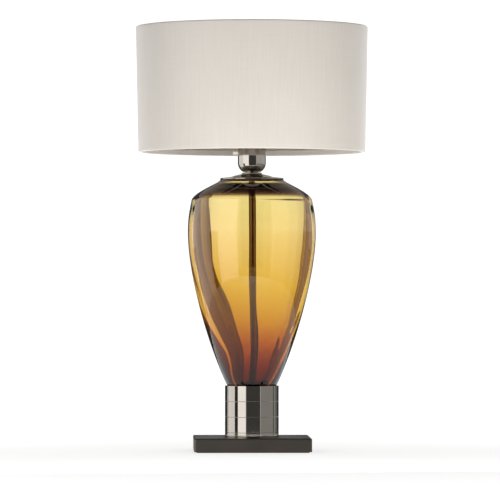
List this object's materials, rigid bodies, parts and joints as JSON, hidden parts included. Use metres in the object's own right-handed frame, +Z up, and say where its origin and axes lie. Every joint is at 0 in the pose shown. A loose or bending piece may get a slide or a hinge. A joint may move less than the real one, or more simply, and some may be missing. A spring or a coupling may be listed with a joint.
{
  "type": "table lamp with shade",
  "caption": "Table lamp with a fabric drum shade on a blown amber glass vase, a stacked metal collar and a square plinth.",
  "frame": {"origin": "centre of the underside, on the surface the lamp stands on", "axes": "+Z up along the lamp's axis, +Y to the back where the cord inlet is, front towards -Y"},
  "size_m": [0.406, 0.406, 0.7425],
  "materials": {
    "felt": "pressed wool felt, matte",
    "plinth_metal": "dark bronze-grey satin metal",
    "black_nickel": "polished black nickel plate",
    "zinc_steel": "zinc plated steel",
    "rubber": "matte black rubber",
    "white_plastic": "moulded nylon",
    "vase_glass": "blown cased amber glass, darker towards the foot",
    "bronze_tube": "bronze lacquered tube",
    "holder_plastic": "black moulded phenolic",
    "porcelain": "unglazed porcelain",
    "contact_brass": "stamped brass",
    "cream_plastic": "cream moulded plastic",
    "white_steel": "white enamelled steel wire",
    "liner_film": "white styrene lining",
    "shade_fabric": "cream slubbed satin",
    "bulb_metal": "drawn aluminium",
    "bulb_black_glass": "black vitrite",
    "bulb_glass": "clear glass",
    "filament": "phosphor coated sticks"
  },
  "bodies": {
    "stand": {"felt_pad": "felt", "base_plate": "plinth_metal", "inlet_bush": "rubber", "tube_bush": "white_plastic", "tie_nut": "zinc_steel", "tie_washer": "zinc_steel", "collar_foot_ring": "black_nickel", "collar_lower_ring": "black_nickel", "collar_middle_ring": "black_nickel", "collar_upper_ring": "black_nickel", "vase_seat": "zinc_steel", "seat_gasket": "rubber", "vase": "vase_glass", "cap_gasket": "rubber", "top_cap": "black_nickel", "rod_sleeve": "bronze_tube", "tie_tube": "zinc_steel", "neck_bead": "black_nickel", "neck_spacer": "black_nickel", "holder_cup": "black_nickel", "cup_nut": "zinc_steel", "holder_base": "holder_plastic", "contact_block": "porcelain", "terminal_screws": "contact_brass", "centre_contact": "contact_brass", "switch_contacts": "contact_brass", "screw_shell": "contact_brass", "holder_skirt": "holder_plastic"},
    "switch": {"switch_rod": "cream_plastic", "switch_bridge": "contact_brass"},
    "shade_nut": {"shade_nut": "cream_plastic"},
    "shade": {"carrier_ring": "white_steel", "carrier_arms": "white_steel", "bottom_wire": "white_steel", "top_wire": "white_steel", "shade_liner": "liner_film", "shade_cover": "shade_fabric", "bottom_hem": "shade_fabric", "top_hem": "shade_fabric"},
    "bulb_rise": {"bulb_contact": "bulb_metal"},
    "bulb": {"bulb_insulator": "bulb_black_glass", "bulb_cap": "bulb_metal", "bulb_globe": "bulb_glass", "bulb_stem": "bulb_glass", "bulb_filament": "filament"}
  },
  "joints": [
    {"name": "switch_slide", "type": "slide", "parent": "stand", "child": "switch", "axis": [1, 0, 0], "range_m": [0, 0.008]},
    {"name": "nut_turn", "type": "hinge", "parent": "stand", "child": "shade_nut", "pos_m": [0, 0, 0.536], "axis": [0, 0, 1], "range_deg": [0, 720]},
    {"name": "shade_turn", "type": "hinge", "parent": "stand", "child": "shade", "pos_m": [0, 0, 0.531], "axis": [0, 0, 1], "continuous": true},
    {"name": "bulb_rise", "type": "slide", "parent": "stand", "child": "bulb_rise", "axis": [0, 0, 1], "range_m": [0, 0.011]},
    {"name": "bulb_turn", "type": "hinge", "parent": "bulb_rise", "child": "bulb", "pos_m": [0, 0, 0.55], "axis": [0, 0, 1], "range_deg": [0, 1080]}
  ],
  "couplings": [
    {"joint": "bulb_rise", "follows": "bulb_turn", "m_per_rad": 0.00057757}
  ]
}
